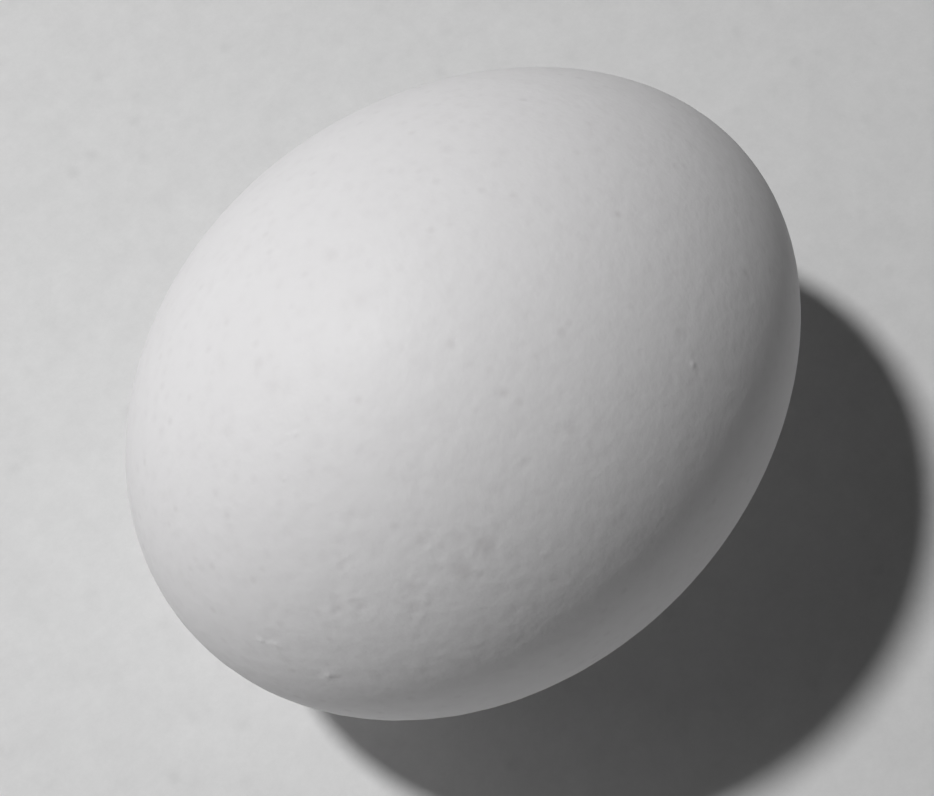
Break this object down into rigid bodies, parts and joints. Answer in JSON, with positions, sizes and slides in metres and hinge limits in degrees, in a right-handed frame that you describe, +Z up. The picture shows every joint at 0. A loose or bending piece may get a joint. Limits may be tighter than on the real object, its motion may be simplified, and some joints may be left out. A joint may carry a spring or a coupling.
{
  "type": "hen egg",
  "caption": "White hen's egg in its shell, lying on its side on a small flat spot, for kitchen, farm and table scenes.",
  "frame": {"origin": "centre of the small flat spot that the egg rests on, straight below its centre of mass", "axes": "+Z up from the table; the long axis lies in the XZ plane, with the small end toward +X and 2.7 degrees lower than the blunt end"},
  "size_m": [0.0556, 0.044, 0.0439],
  "materials": {
    "eggshell": "matte"
  },
  "bodies": {
    "root": {"egg": "eggshell"}
  },
  "joints": []
}
